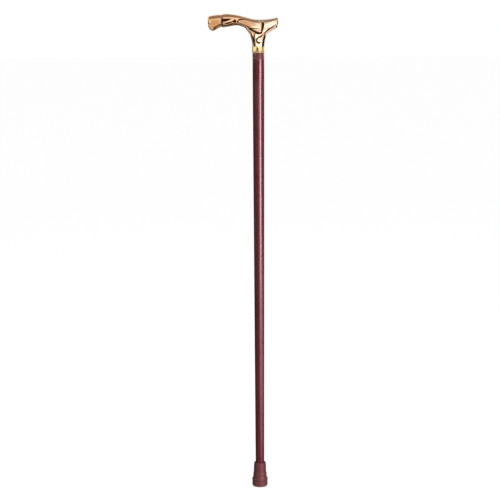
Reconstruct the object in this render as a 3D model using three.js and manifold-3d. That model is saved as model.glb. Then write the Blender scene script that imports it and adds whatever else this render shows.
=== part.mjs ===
// A walking cane: a polished cast handle with scroll relief, a turned collar, a tapered hardwood
// shaft and a pull-off rubber ferrule on the foot.
// Millimetres. The origin is the centre of the ferrule's ground face and +Z runs up the shaft.
// +X points the way the handle's short prow points, so the long arm runs to -X. The handle is alike
// on its two sides, +Y and -Y.
import * as THREE from "three";
import { mergeVertices } from "three/addons/utils/BufferGeometryUtils.js";
import Module from "manifold-3d";

const wasm = await Module();
wasm.setup();

// Clearances
const BORE_GAP = 0.3; // radial room round a piece that sits in a bore
const SEAT_GAP = 0.1; // between two faces that bear on each other
const THREAD_GAP = 0.15; // radial room between a male and a female thread

// The cane as a whole
const CANE_LENGTH = 914; // ground to the top of the arm: 36 in
const HANDLE_RISE = 60.2; // seat of the neck to the top of the arm

// Shaft
const SHAFT_TOP_DIAMETER = 22.2;
const SHAFT_FOOT_DIAMETER = 16.6;
const SHAFT_FOOT_CHAMFER = 0.8;
const SHAFT_SHOULDER_CHAMFER = 0.4;
const SHAFT_SIDES = 36;
const TENON_DIAMETER = 17;
const TENON_CHAMFER = 0.5;

// Collar
const COLLAR_HEIGHT = 11.6;
const COLLAR_STANDS = 0.9; // barrel out past the shaft
const COLLAR_FLANGE_HEIGHT = 2.4;
const COLLAR_FLANGE_STANDS = 0.4; // flange out past the barrel
const COLLAR_GROOVE_WIDTH = 0.8;
const COLLAR_GROOVE_DEPTH = 0.6;
const COLLAR_EDGE = 0.5;

// Threaded joint inside the neck
const THREAD_DIAMETER = 8;
const THREAD_PITCH = 1.25;
const THREAD_DEPTH = 0.77;
const THREAD_LENGTH = 10; // at each end of the stud
const THREAD_SIDES = 8;
const THREAD_ROOT_SINK = 0.2; // how deep a thread's ridge is fused into its bar
const THREAD_RIDGE_SHARE = 0.9; // of the pitch that the ridge takes at its base
const STUD_IN_HANDLE = 18;
const STUD_IN_SHAFT = 22;
const INSERT_DIAMETER = 10.6;
const INSERT_LENGTH = 24;
const INSERT_BARBS = 4;
const INSERT_BARB_DEPTH = 0.6;
const INSERT_BARB_RISE = 0.8; // share of each barb's height that it widens over
const INSERT_FLANGE_HEIGHT = 1.6;
const INSERT_SIDES = 24;
const WASHER_THICKNESS = 0.8;
const HOLE_RUN_OUT = 2; // free depth past what stands in a blind hole
const OVERSHOOT = 1; // how far a cutter or a joined bar runs past the face that it crosses

// Ferrule
const FERRULE_HEIGHT = 47.5;
const FERRULE_FLOOR = 10; // rubber under the steel disc
const FERRULE_FOOT_DIAMETER = 29.8;
const FERRULE_FOOT_HEIGHT = 11.2;
const FERRULE_GROOVE_DEPTH = 1.1; // between the foot and the bead
const FERRULE_BEAD_STANDS = 0.5; // out past the foot
const FERRULE_BEAD_HEIGHT = 4.2;
const FERRULE_SKIRT_HEIGHT = 9.8; // the flare between the bead and the sleeve
const FERRULE_SKIRT_TOP_DIAMETER = 25.9;
const FERRULE_SKIRT_FLARE = 1.8; // 1 is a straight skirt, more flares nearer the bead
const FERRULE_BEAD_SHARES = [0.2, 0.5, 0.8]; // of its height, where the bead's outline has points
const FERRULE_SKIRT_SHARES = [0, 0.25, 0.55, 1];
const FERRULE_STEP = 0.65; // from the skirt in to the sleeve
const FERRULE_STEP_HEIGHT = 1.8;
const FERRULE_MOUTH_DIAMETER = 23;
const FERRULE_MOUTH_EDGE = 0.8;
const FERRULE_LEAD_WIDTH = 1.4; // of the lead-in that guides the shaft's foot in
const FERRULE_LEAD_DEPTH = 3;
const FERRULE_GROUND_EDGE = 2.6;
const FERRULE_SIDES = 32;
const TREAD_GROOVE_WIDTH = 1.6;
const TREAD_GROOVE_DEPTH = 1.4;
const TREAD_GROOVE_RADII = [3.8, 7, 10.2];
const DISC_THICKNESS = 1.5;

// Handle. Heights are above the neck's seat on the collar.
const SECTION_POWER = 2.3; // 2 is an ellipse, more is fuller
const HANDLE_SIDES = 26;
const HANDLE_STEP = 3.4; // between rings of the arm, the cap and the neck
const CAP_JOINT_X = -69.8;
const CAP_SPIGOT_DIAMETER = 11;
const CAP_SPIGOT_LENGTH = 9;
const CAP_SPIGOT_RISE = 46.5;

// The arm, from the cap's joint to the prow's end: x, top, bottom, half width.
const ARM_ROWS = [
  [CAP_JOINT_X, 57.7, 37.4, 10],
  [-68.4, 59.2, 36.1, 10.9],
  [-62, HANDLE_RISE, 35.9, 11.2],
  [-54, HANDLE_RISE, 37.3, 10.9],
  [-45, 59, 38.8, 10.3],
  [-37.5, 57.7, 39, 10],
  [-30, 56, 36.9, 10.5],
  [-22, 54, 33, 11.7],
  [-12, 51.3, 28.8, 12.8],
  [0, 49.9, 26.5, 13.3],
  [10, 50, 26, 12.5],
  [20, 50.7, 27.2, 10.8],
  [26, 51.4, 29.2, 9.2],
  [31, 52.3, 31.6, 7.8],
  [35, 53.4, 35, 6],
  [37.1, 52.5, 39.4, 4],
];
// The knob-like cap that ends the arm, in the same terms.
const CAP_ROWS = [
  [-94.1, 53.2, 41, 5.8],
  [-93.4, 55.1, 36.8, 8.6],
  [-91.2, 56.2, 32.8, 10.7],
  [-88.2, 57, 30, 11.6],
  [-84.8, 57.6, 29.2, 12],
  [-80.8, 58.2, 30.6, 12.3],
  [-76, 58.8, 33.4, 12.7],
  [-72.4, 59.1, 35.2, 12.9],
  [CAP_JOINT_X - SEAT_GAP, 58.9, 36.2, 12.9],
];
// The neck, up from its seat: height, back edge x, front edge x, half thickness.
const NECK_SEAT_REACH = SHAFT_TOP_DIAMETER / 2;
const NECK_ROWS = [
  [0, -NECK_SEAT_REACH, NECK_SEAT_REACH, NECK_SEAT_REACH],
  [5, -11.4, 11.4, 11.1],
  [10, -12.2, 12.1, 11.2],
  [16, -13.7, 13.5, 11.7],
  [20, -15.2, 15.2, 12.1],
  [24, -17.2, 18.6, 12.5],
  [28, -19.8, 24.4, 12.6],
  [32, -22.6, 28, 11.8],
  [36, -25, 26, 9.6],
  [38.4, -26.4, 22, 7],
];

// Relief, the same on both sides: points of x, height and groove width along each cut.
const GROOVES = [
  // under the broad leaf, into the deep corner above the curl
  [[-22.6, 36.4, 1.6], [-17, 33.8, 2.8], [-11.6, 31.2, 3], [-6.9, 28.4, 3.4], [-3, 25.6, 4.4], [1.5, 24.8, 4.2],
    [5.2, 25.6, 2.8]],
  // between the broad leaf and the prow's leaf
  [[8.8, 43.8, 4.4], [8.4, 40, 5.6], [7.6, 34.4, 4.4], [6.4, 28.8, 3], [5.2, 25.6, 2.4]],
  // between the prow's leaf and the lip below it
  [[34, 41, 1.8], [30, 38.4, 2.8], [24, 34.4, 3], [18.5, 30.8, 3.2], [13.8, 27, 2.6], [11.6, 22.4, 1.6]],
  // the scroll round the bead
  [[8.4, 22.8, 1.8], [6.4, 20.2, 2.6], [3.4, 18.8, 2.8], [-0.4, 17.4, 2.8], [-2.8, 14.6, 2.8], [-3.4, 11.2, 2.8],
    [-1.8, 7.8, 3], [1.6, 6.2, 2.8], [4.8, 6.6, 1.6]],
  // veins up the back and the front of the neck
  [[-14, 25.4, 1.8], [-12.6, 21, 2.8], [-10.8, 15.4, 3.4], [-9.6, 9.6, 3.4], [-8.4, 3.6, 2.2]],
  [[12.4, 18.4, 1.8], [11.4, 14.4, 3.2], [10.6, 9.6, 2.8], [10.2, 5.4, 3.2], [9.6, 2.4, 2.2]],
  // the crease along the top of the broad leaf, and its stem
  [[-37.8, 48, 1.6], [-34, 50.2, 2.4], [-29.6, 50.8, 2.6], [-24.6, 50.6, 2.2], [-15.6, 48.8, 1.4]],
  [[-37.8, 48, 1.6], [-38.5, 45.4, 2.6], [-38.1, 42.8, 1.6]],
  // the petal in the leaf loop, and the wedge over it
  [[-61.8, 42, 1.8], [-58.4, 42.6, 3], [-54, 44, 2.8], [-49, 45.6, 1.6]],
  [[-66.4, 48.6, 5], [-62.4, 49.2, 4.4], [-58, 49.8, 3.2], [-52.2, 50.4, 1.6]],
  // beside the cap's joint
  [[-68, 53.6, 2.4], [-68.2, 50, 4], [-68.2, 45, 4], [-68, 40.6, 3]],
];
const GROOVE_SIDES = 6;
const GROOVE_STEP = 3.4;
const CURL_BEAD = { x: 3.4, height: 12.6, radius: 5, stands: 1.4 };
const SEED_DIMPLE = { x: -44.2, height: 46.8, radius: 2.9, stands: 1.6 };

// Levels that follow from the sizes above
const NECK_SEAT_Z = CANE_LENGTH - HANDLE_RISE;
const SHOULDER_Z = NECK_SEAT_Z - COLLAR_HEIGHT;
const TENON_TOP_Z = NECK_SEAT_Z - 2 * SEAT_GAP - WASHER_THICKNESS;
const DISC_Z = FERRULE_FLOOR + SEAT_GAP;
const FOOT_Z = DISC_Z + DISC_THICKNESS + SEAT_GAP;
const SHAFT_BORE_RADIUS = INSERT_DIAMETER / 2 + BORE_GAP;

/** A closed geometry as a solid that can be joined and cut. */
function solidOf(geometry) {
  const bare = geometry.clone();
  bare.deleteAttribute("normal");
  bare.deleteAttribute("uv");
  const merged = mergeVertices(bare, 1e-4);
  const vertProperties = merged.attributes.position.array;
  const triVerts = new Uint32Array(merged.index.array);
  return new wasm.Manifold(new wasm.Mesh({ numProp: 3, vertProperties, triVerts }));
}

/** A solid back as a geometry for a mesh. */
function geometryOf(solid) {
  const mesh = solid.getMesh();
  const geometry = new THREE.BufferGeometry();
  geometry.setAttribute("position", new THREE.BufferAttribute(mesh.vertProperties, 3));
  geometry.setIndex(new THREE.BufferAttribute(mesh.triVerts, 1));
  geometry.computeVertexNormals();
  return geometry;
}

/** A shape turned about Z from its half outline of [radius, z] pairs. */
function turned(outline, sides) {
  const points = outline.map(([radius, z]) => new THREE.Vector2(radius, z));
  return new THREE.LatheGeometry(points, sides).rotateX(Math.PI / 2);
}

/** An upright round bar from one height to another. */
function roundBar(radius, fromZ, toZ, sides = 24) {
  const bar = new THREE.CylinderGeometry(radius, radius, toZ - fromZ, sides);
  return bar.rotateX(Math.PI / 2).translate(0, 0, (fromZ + toZ) / 2);
}

/** Points of an outline along an arc about [radius, z], in degrees from outwards. */
function arc(centreRadius, centreZ, size, fromDegrees, toDegrees, steps = 3) {
  return Array.from({ length: steps + 1 }, (_, k) => {
    const angle = THREE.MathUtils.degToRad(fromDegrees + ((toDegrees - fromDegrees) * k) / steps);
    return [centreRadius + size * Math.cos(angle), centreZ + size * Math.sin(angle)];
  });
}

/** A geometry of these faces, all turned round if they face inwards. */
function closedGeometry(points, faces) {
  const across = new THREE.Vector3();
  let volume = 0;
  for (const [a, b, c] of faces) {
    volume += points[a].dot(across.crossVectors(points[b], points[c]));
  }
  const outward = volume < 0 ? faces.map(([a, b, c]) => [a, c, b]) : faces;
  const geometry = new THREE.BufferGeometry().setFromPoints(points);
  geometry.setIndex(outward.flat());
  return geometry;
}

/** A closed skin over a row of rings, with a fan over each end. */
function skinned(rings) {
  const sides = rings[0].length;
  const points = rings.flat();
  const faces = [];
  for (let k = 0; k + 1 < rings.length; k++) {
    for (let j = 0; j < sides; j++) {
      const here = k * sides + j;
      const next = k * sides + ((j + 1) % sides);
      faces.push([here, next, next + sides], [here, next + sides, here + sides]);
    }
  }
  for (const end of [0, rings.length - 1]) {
    const middle = new THREE.Vector3();
    rings[end].forEach((point) => middle.addScaledVector(point, 1 / sides));
    points.push(middle);
    for (let j = 0; j < sides; j++) {
      const edge = [end * sides + j, end * sides + ((j + 1) % sides)];
      if (end === 0) edge.reverse();
      faces.push([points.length - 1, ...edge]);
    }
  }
  return closedGeometry(points, faces);
}

/** The row at s, on a smooth curve through rows that are sorted by their first number. */
function rowAt(rows, s) {
  const last = rows.length - 1;
  let i = 0;
  while (i < last - 1 && s > rows[i + 1][0]) i++;
  const clamped = (k) => rows[Math.min(Math.max(k, 0), last)];
  const [before, from, to, after] = [i - 1, i, i + 1, i + 2].map(clamped);
  const span = to[0] - from[0];
  const t = THREE.MathUtils.clamp((s - from[0]) / span, 0, 1);
  return from.map((value, n) => {
    const leaving = ((to[n] - before[n]) / (to[0] - before[0])) * span;
    const arriving = ((after[n] - value) / (after[0] - from[0])) * span;
    const start = value * (2 * t ** 3 - 3 * t ** 2 + 1) + leaving * (t ** 3 - 2 * t ** 2 + t);
    const end = to[n] * (3 * t ** 2 - 2 * t ** 3) + arriving * (t ** 3 - t ** 2);
    return start + end;
  });
}

/** Stations along rows: every row, with even steps between. */
function stationsAlong(rows) {
  const stations = [rows[0][0]];
  for (let i = 1; i < rows.length; i++) {
    const span = rows[i][0] - rows[i - 1][0];
    const steps = Math.max(1, Math.round(span / HANDLE_STEP));
    for (let k = 1; k <= steps; k++) stations.push(rows[i - 1][0] + (span * k) / steps);
  }
  return stations;
}

/** A ring of a rounded section, each point made by place(across, along) from its two half sizes. */
function sectionRing(halfAcross, halfAlong, place) {
  const rounded = (value) => Math.sign(value) * Math.abs(value) ** (2 / SECTION_POWER);
  return Array.from({ length: HANDLE_SIDES }, (_, j) => {
    const angle = (2 * Math.PI * (j + 0.5)) / HANDLE_SIDES;
    return place(halfAcross * rounded(Math.cos(angle)), halfAlong * rounded(Math.sin(angle)));
  });
}

/** Half the thickness of a rounded section, at a distance from its middle. */
function sectionReach(halfAcross, halfAlong, offset) {
  const share = Math.min(1, Math.abs(offset / halfAlong));
  return halfAcross * (1 - share ** SECTION_POWER) ** (1 / SECTION_POWER);
}

/** A body along X from rows of x, top, bottom and half width. */
function bodyAlongX(rows) {
  const rings = stationsAlong(rows).map((x) => {
    const [, top, bottom, halfWidth] = rowAt(rows, x);
    const middle = (top + bottom) / 2;
    return sectionRing(halfWidth, top - middle, (y, up) => new THREE.Vector3(x, y, middle + up));
  });
  return solidOf(skinned(rings));
}

/** The neck: a body up Z from its rows. */
function neckBody() {
  const rings = stationsAlong(NECK_ROWS).map((z) => {
    const [, back, front, halfThickness] = rowAt(NECK_ROWS, z);
    const middle = (back + front) / 2;
    return sectionRing(halfThickness, front - middle, (y, along) => new THREE.Vector3(middle + along, y, z));
  });
  return solidOf(skinned(rings));
}

/** How far the handle's side stands from its middle plane at x and a height. */
function sideReach(x, height) {
  const [, top, bottom, halfWidth] = rowAt(ARM_ROWS, x);
  const [, back, front, halfThickness] = rowAt(NECK_ROWS, height);
  const onArm = sectionReach(halfWidth, (top - bottom) / 2, height - (top + bottom) / 2);
  const onNeck = sectionReach(halfThickness, (front - back) / 2, x - (back + front) / 2);
  return Math.max(onArm, onNeck);
}

/** A cutter for one groove: a tube that swells and narrows along the handle's side. */
function grooveCutter(points, side) {
  const plan = new THREE.CatmullRomCurve3(points.map(([x, height]) => new THREE.Vector3(x, 0, height)));
  const outward = new THREE.Vector3(0, side, 0);
  const steps = Math.round(plan.getLength() / GROOVE_STEP) + 1;
  const rings = Array.from({ length: steps + 1 }, (_, k) => {
    const along = (k / steps) * (points.length - 1);
    const index = Math.min(points.length - 2, Math.floor(along));
    const width = THREE.MathUtils.lerp(points[index][2], points[index + 1][2], along - index);
    const { x, z } = plan.getPoint(k / steps);
    const beside = new THREE.Vector3().crossVectors(plan.getTangent(k / steps), outward).normalize();
    const centre = new THREE.Vector3(x, side * sideReach(x, z), z);
    return Array.from({ length: GROOVE_SIDES }, (_, j) => {
      const angle = (2 * Math.PI * j) / GROOVE_SIDES;
      const offset = beside.clone().multiplyScalar(Math.cos(angle)).addScaledVector(outward, Math.sin(angle));
      return centre.clone().addScaledVector(offset, width / 2);
    });
  });
  return solidOf(skinned(rings));
}

/** A ball in the handle's side, with its crown this far out of it. */
function sideBall({ x, height, radius, stands }, side) {
  const ball = new THREE.SphereGeometry(radius, 14, 10);
  return solidOf(ball.translate(x, side * (sideReach(x, height) - radius + stands), height));
}

/** A bar with a helical thread. All that are made here are turned in step with each other. */
function threadedBar(diameter, fromZ, toZ) {
  const crest = diameter / 2;
  const root = crest - THREAD_DEPTH;
  const foot = root - THREAD_ROOT_SINK;
  const halfRidge = (THREAD_PITCH * THREAD_RIDGE_SHARE) / 2;
  const rise = THREAD_PITCH / THREAD_SIDES;
  const first = Math.floor(fromZ / rise) - THREAD_SIDES;
  const last = Math.ceil(toZ / rise) + THREAD_SIDES;
  const rings = Array.from({ length: last - first + 1 }, (_, k) => {
    const z = (first + k) * rise;
    const angle = (2 * Math.PI * (first + k)) / THREAD_SIDES;
    const at = (radius, level) =>
      new THREE.Vector3(radius * Math.cos(angle), radius * Math.sin(angle), level);
    return [at(foot, z - halfRidge), at(crest, z), at(foot, z + halfRidge)];
  });
  const core = solidOf(roundBar(root, fromZ, toZ, THREAD_SIDES));
  const length = solidOf(roundBar(crest + OVERSHOOT, fromZ, toZ, THREAD_SIDES));
  return core.add(solidOf(skinned(rings)).intersect(length));
}

/** A cutter for a hole that is clear as far as its thread and tapped from there on, up or down Z. */
function tappedHole(mouthZ, threadFromZ, endZ) {
  const radius = THREAD_DIAMETER / 2 + THREAD_GAP;
  const clear = roundBar(radius, Math.min(mouthZ, threadFromZ), Math.max(mouthZ, threadFromZ), THREAD_SIDES);
  const tapped = threadedBar(2 * radius, Math.min(threadFromZ, endZ), Math.max(threadFromZ, endZ));
  return solidOf(clear).add(tapped);
}

/** Both sides' copies of what make(side) gives. */
function bothSides(make) {
  return [make(1), make(-1)];
}

function handleCasting() {
  let body = bodyAlongX(ARM_ROWS).add(neckBody());
  for (const groove of GROOVES) {
    for (const cutter of bothSides((side) => grooveCutter(groove, side))) body = body.subtract(cutter);
  }
  for (const bead of bothSides((side) => sideBall(CURL_BEAD, side))) body = body.add(bead);
  for (const dimple of bothSides((side) => sideBall(SEED_DIMPLE, side))) body = body.subtract(dimple);
  const tapped = tappedHole(-OVERSHOOT, STUD_IN_HANDLE - THREAD_LENGTH, STUD_IN_HANDLE + HOLE_RUN_OUT);
  const socket = roundBar(CAP_SPIGOT_DIAMETER / 2 + BORE_GAP, -OVERSHOOT, CAP_SPIGOT_LENGTH + HOLE_RUN_OUT);
  socket.rotateY(Math.PI / 2).translate(CAP_JOINT_X, 0, CAP_SPIGOT_RISE);
  return geometryOf(body.subtract(tapped).subtract(solidOf(socket)));
}

function handleCap() {
  const spigot = roundBar(CAP_SPIGOT_DIAMETER / 2, -2 * OVERSHOOT, CAP_SPIGOT_LENGTH);
  spigot.rotateY(Math.PI / 2).translate(CAP_JOINT_X, 0, CAP_SPIGOT_RISE);
  return geometryOf(bodyAlongX(CAP_ROWS).add(solidOf(spigot)));
}

function threadedStud() {
  const shank = roundBar(THREAD_DIAMETER / 2 - THREAD_DEPTH, -STUD_IN_SHAFT, STUD_IN_HANDLE, THREAD_SIDES);
  const upper = threadedBar(THREAD_DIAMETER, STUD_IN_HANDLE - THREAD_LENGTH, STUD_IN_HANDLE);
  const lower = threadedBar(THREAD_DIAMETER, -STUD_IN_SHAFT, THREAD_LENGTH - STUD_IN_SHAFT);
  return geometryOf(solidOf(shank).add(upper).add(lower));
}

function seatWasher() {
  const inner = THREAD_DIAMETER / 2 + BORE_GAP;
  const outer = TENON_DIAMETER / 2;
  return turned(
    [
      [inner, 0],
      [outer, 0],
      [outer, WASHER_THICKNESS],
      [inner, WASHER_THICKNESS],
      [inner, 0],
    ],
    SHAFT_SIDES,
  );
}

function shaftInsert() {
  const radius = INSERT_DIAMETER / 2;
  const bottom = -INSERT_LENGTH;
  const barb = (INSERT_LENGTH - INSERT_FLANGE_HEIGHT) / INSERT_BARBS;
  const outline = [[0, bottom]];
  for (let k = 0; k < INSERT_BARBS; k++) {
    outline.push([radius - INSERT_BARB_DEPTH, bottom + k * barb], [radius, bottom + (k + INSERT_BARB_RISE) * barb]);
  }
  outline.push([radius - INSERT_BARB_DEPTH, -INSERT_FLANGE_HEIGHT], [radius, -INSERT_FLANGE_HEIGHT]);
  outline.push([radius, 0], [0, 0]);
  // The thread is cut where the stud's is, measured from the neck's seat, and raised to the insert.
  const seat = NECK_SEAT_Z - TENON_TOP_Z;
  const tapped = tappedHole(OVERSHOOT, THREAD_LENGTH - STUD_IN_SHAFT, -seat - INSERT_LENGTH - OVERSHOOT);
  return geometryOf(solidOf(turned(outline, INSERT_SIDES)).subtract(tapped.translate([0, 0, seat])));
}

function collar() {
  const bore = TENON_DIAMETER / 2 + BORE_GAP;
  const barrel = SHAFT_TOP_DIAMETER / 2 + COLLAR_STANDS;
  const flange = barrel + COLLAR_FLANGE_STANDS;
  const low = SEAT_GAP;
  const high = COLLAR_HEIGHT - SEAT_GAP;
  const barrelLow = low + COLLAR_FLANGE_HEIGHT + COLLAR_GROOVE_WIDTH;
  return turned(
    [
      [bore, low],
      [flange - COLLAR_EDGE, low],
      [flange, low + COLLAR_EDGE],
      [flange, low + COLLAR_FLANGE_HEIGHT - COLLAR_EDGE],
      [flange - COLLAR_EDGE, low + COLLAR_FLANGE_HEIGHT],
      [barrel - COLLAR_GROOVE_DEPTH, low + COLLAR_FLANGE_HEIGHT + COLLAR_GROOVE_WIDTH / 2],
      [barrel, barrelLow],
      [barrel, high - COLLAR_EDGE],
      [barrel - COLLAR_EDGE, high],
      [bore, high],
      [bore, low],
    ],
    SHAFT_SIDES,
  );
}

/** The shaft's radius at a height of its tapered stretch. */
function shaftRadiusAt(z) {
  const up = (z - FOOT_Z) / (SHOULDER_Z - FOOT_Z);
  return THREE.MathUtils.lerp(SHAFT_FOOT_DIAMETER, SHAFT_TOP_DIAMETER, up) / 2;
}

function shaft() {
  const foot = SHAFT_FOOT_DIAMETER / 2;
  const tenon = TENON_DIAMETER / 2;
  const boreEnd = TENON_TOP_Z - INSERT_LENGTH - HOLE_RUN_OUT;
  const chamferTop = SHOULDER_Z - SHAFT_SHOULDER_CHAMFER;
  return turned(
    [
      [0, FOOT_Z],
      [foot - SHAFT_FOOT_CHAMFER, FOOT_Z],
      [shaftRadiusAt(FOOT_Z + SHAFT_FOOT_CHAMFER), FOOT_Z + SHAFT_FOOT_CHAMFER],
      [shaftRadiusAt(chamferTop), chamferTop],
      [shaftRadiusAt(SHOULDER_Z) - SHAFT_SHOULDER_CHAMFER, SHOULDER_Z],
      [tenon, SHOULDER_Z],
      [tenon, TENON_TOP_Z - TENON_CHAMFER],
      [tenon - TENON_CHAMFER, TENON_TOP_Z],
      [SHAFT_BORE_RADIUS, TENON_TOP_Z],
      [SHAFT_BORE_RADIUS, boreEnd],
      [0, boreEnd - HOLE_RUN_OUT],
    ],
    SHAFT_SIDES,
  );
}

function ferrule() {
  const foot = FERRULE_FOOT_DIAMETER / 2;
  const mouth = FERRULE_MOUTH_DIAMETER / 2;
  const grooveTop = FERRULE_FOOT_HEIGHT + FERRULE_GROOVE_DEPTH;
  const beadTop = grooveTop + FERRULE_BEAD_HEIGHT;
  const skirtTop = beadTop + FERRULE_SKIRT_HEIGHT;
  const skirtTopRadius = FERRULE_SKIRT_TOP_DIAMETER / 2;
  const tread = TREAD_GROOVE_RADII.flatMap((radius) => [
    [radius - TREAD_GROOVE_WIDTH / 2, 0],
    [radius - TREAD_GROOVE_WIDTH / 2, TREAD_GROOVE_DEPTH],
    [radius + TREAD_GROOVE_WIDTH / 2, TREAD_GROOVE_DEPTH],
    [radius + TREAD_GROOVE_WIDTH / 2, 0],
  ]);
  const beadShape = FERRULE_BEAD_SHARES.map((share) => [
    foot + FERRULE_BEAD_STANDS * Math.sin(Math.PI * share),
    grooveTop + FERRULE_BEAD_HEIGHT * share,
  ]);
  const skirt = FERRULE_SKIRT_SHARES.map((share) => [
    skirtTopRadius + (foot - FERRULE_GROOVE_DEPTH - skirtTopRadius) * (1 - share) ** FERRULE_SKIRT_FLARE,
    beadTop + FERRULE_SKIRT_HEIGHT * share,
  ]);
  const rim = FERRULE_HEIGHT - FERRULE_MOUTH_EDGE;
  const leadEnd = FERRULE_HEIGHT - FERRULE_LEAD_DEPTH;
  return turned(
    [
      [0, 0],
      ...tread,
      ...arc(foot - FERRULE_GROUND_EDGE, FERRULE_GROUND_EDGE, FERRULE_GROUND_EDGE, -90, 0),
      [foot, FERRULE_FOOT_HEIGHT - FERRULE_GROOVE_DEPTH],
      [foot - FERRULE_GROOVE_DEPTH, FERRULE_FOOT_HEIGHT],
      [foot - FERRULE_GROOVE_DEPTH, grooveTop],
      ...beadShape,
      ...skirt,
      [skirtTopRadius - FERRULE_STEP, skirtTop + FERRULE_STEP_HEIGHT],
      ...arc(mouth - FERRULE_MOUTH_EDGE, rim, FERRULE_MOUTH_EDGE, 0, 90),
      [shaftRadiusAt(leadEnd) + BORE_GAP + FERRULE_LEAD_WIDTH, FERRULE_HEIGHT],
      [shaftRadiusAt(leadEnd) + BORE_GAP, leadEnd],
      [shaftRadiusAt(FOOT_Z) + BORE_GAP, FOOT_Z],
      [shaftRadiusAt(FOOT_Z) + BORE_GAP, FERRULE_FLOOR],
      [0, FERRULE_FLOOR],
    ],
    FERRULE_SIDES,
  );
}

function ferruleDisc() {
  return roundBar(SHAFT_FOOT_DIAMETER / 2, 0, DISC_THICKNESS, FERRULE_SIDES);
}

/** One named piece of the cane, with its own material. */
function piece(name, geometry, color, metalness, roughness, z = 0) {
  const mesh = new THREE.Mesh(geometry, new THREE.MeshStandardMaterial({ color, metalness, roughness }));
  mesh.name = name;
  mesh.position.z = z;
  return mesh;
}

const GILT = 0xe0b48c;
const BRASS = 0xd8b058;
const STEEL = 0xb4b6b8;
const NYLON = 0xe8e4d8;
const BURGUNDY = 0x5c2428;
const RUBBER = 0x7a4440;

const head = new THREE.Group();
head.position.z = NECK_SEAT_Z;
head.add(
  piece("handle_casting", handleCasting(), GILT, 1, 0.2),
  piece("handle_cap", handleCap(), GILT, 1, 0.2),
  piece("threaded_stud", threadedStud(), STEEL, 1, 0.35),
  piece("seat_washer", seatWasher(), NYLON, 0, 0.6, -SEAT_GAP - WASHER_THICKNESS),
);

const stick = new THREE.Group();
stick.add(
  piece("collar", collar(), BRASS, 1, 0.22, SHOULDER_Z),
  piece("shaft_insert", shaftInsert(), BRASS, 1, 0.4, TENON_TOP_Z),
  piece("shaft", shaft(), BURGUNDY, 0, 0.3),
);

const foot = new THREE.Group();
foot.add(
  piece("ferrule", ferrule(), RUBBER, 0, 0.8),
  piece("ferrule_disc", ferruleDisc(), STEEL, 1, 0.4, DISC_Z),
);

const cane = new THREE.Group();
cane.add(head, stick, foot);

export default cane;
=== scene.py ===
"""The looks of a walking cane: cast scroll-relief handle, turned collar, lacquered shaft, rubber foot.

The handle, its cap, the collar, the shaft and the ferrule are modelled again with fine surfaces in the
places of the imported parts, and the hidden hardware keeps its own meshes.
Sizes are in millimetres, which MM turns into Blender's metres, except in the studio and in names that
end in _z.
"""
import logging
import math
from collections.abc import Iterator, Sequence
from contextlib import contextmanager
from dataclasses import dataclass
from enum import Enum

import bmesh
import bpy
import numpy as np
from mathutils import Euler, Matrix, Vector


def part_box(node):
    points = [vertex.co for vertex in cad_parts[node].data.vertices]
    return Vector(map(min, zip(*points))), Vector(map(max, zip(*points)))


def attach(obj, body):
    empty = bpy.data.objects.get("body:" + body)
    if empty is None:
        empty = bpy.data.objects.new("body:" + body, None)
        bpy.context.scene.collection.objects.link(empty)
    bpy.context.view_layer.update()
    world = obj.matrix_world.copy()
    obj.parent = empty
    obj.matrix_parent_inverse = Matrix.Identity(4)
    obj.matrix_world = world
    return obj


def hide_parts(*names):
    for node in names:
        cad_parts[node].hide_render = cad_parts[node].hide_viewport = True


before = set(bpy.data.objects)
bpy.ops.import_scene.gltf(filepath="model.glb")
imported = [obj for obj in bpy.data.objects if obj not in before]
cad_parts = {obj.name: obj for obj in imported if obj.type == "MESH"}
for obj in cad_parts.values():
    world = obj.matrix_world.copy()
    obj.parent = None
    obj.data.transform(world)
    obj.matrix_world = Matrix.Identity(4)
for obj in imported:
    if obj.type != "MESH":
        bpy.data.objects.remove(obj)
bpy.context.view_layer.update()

MM = 0.001
WHITE = (1.0, 1.0, 1.0)
SHADE = (1.0, 0.72, 0.5)
LOG = logging.getLogger("walking_cane")

Colour = tuple[float, float, float]
Row = tuple[float, ...]
Outline = list[tuple[float, float]]
Piece = bpy.types.Object
Material = bpy.types.Material
Socket = bpy.types.NodeSocket


# Working with meshes


def start_fresh() -> None:
    """Leave edit mode and deselect everything, so that the next operator acts on its own piece."""
    if bpy.context.object and bpy.context.object.mode != "OBJECT":
        bpy.ops.object.mode_set(mode="OBJECT")
    bpy.ops.object.select_all(action="DESELECT")


def pick(piece: Piece) -> None:
    """Select one piece alone and make it active.

    Args:
        piece: the object to select.
    """
    start_fresh()
    piece.select_set(True)
    bpy.context.view_layer.objects.active = piece


@contextmanager
def editing(piece: Piece) -> Iterator[None]:
    """Edit a piece's mesh, from all of it selected.

    Args:
        piece: the object to edit.

    Yields:
        Nothing, while the piece is in edit mode.
    """
    pick(piece)
    bpy.ops.object.mode_set(mode="EDIT")
    bpy.ops.mesh.select_all(action="SELECT")
    yield
    bpy.ops.object.mode_set(mode="OBJECT")


def finish_with(piece: Piece, kind: str, **settings: object) -> None:
    """Add one modifier to a piece and apply it.

    Args:
        piece: the object to change.
        kind: the modifier's type.
        settings: the modifier's properties.
    """
    pick(piece)
    modifier = piece.modifiers.new(kind.lower(), kind)
    for name, value in settings.items():
        setattr(modifier, name, value)
    bpy.ops.object.modifier_apply(modifier=modifier.name)


def smooth_shade(piece: Piece, degrees: float) -> None:
    """Shade a piece smooth, with edges sharper than this angle kept crisp."""
    pick(piece)
    bpy.ops.object.shade_smooth_by_angle(angle=math.radians(degrees))


def melt(piece: Piece, grid: float, rounds: int) -> None:
    """Melt the bodies of a piece into one skin, with faces of the grid's size, and smooth it so often."""
    finish_with(piece, "REMESH", mode="VOXEL", voxel_size=grid * MM)
    finish_with(piece, "SMOOTH", factor=0.5, iterations=rounds)


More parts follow.
